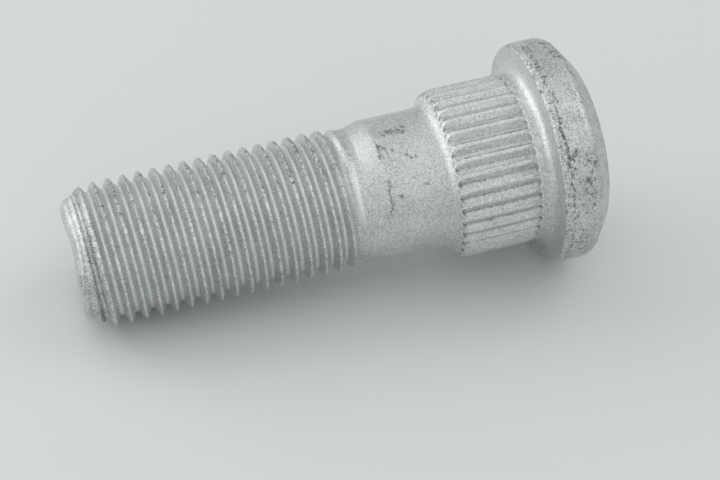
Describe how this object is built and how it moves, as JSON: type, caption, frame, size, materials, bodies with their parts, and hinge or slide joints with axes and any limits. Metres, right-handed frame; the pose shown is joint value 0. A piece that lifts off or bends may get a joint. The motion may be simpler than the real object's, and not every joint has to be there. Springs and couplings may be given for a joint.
{
  "type": "wheel stud",
  "caption": "Press-in wheel stud with a round head, a serrated band, a plain shank and a rolled metric thread, in zinc-flake coated steel.",
  "frame": {"origin": "centre of the head's flat end, on which the stud stands", "axes": "+Z along the stud's axis from the head to the threaded tip; +X towards the side with a thread crest 2.95 mm below the tip"},
  "size_m": [0.0188, 0.0188, 0.0435],
  "materials": {
    "coated_steel": "matt grey zinc flake, worn at the crests and the head's rim"
  },
  "bodies": {
    "root": {"wheel_stud": "coated_steel"}
  },
  "joints": []
}
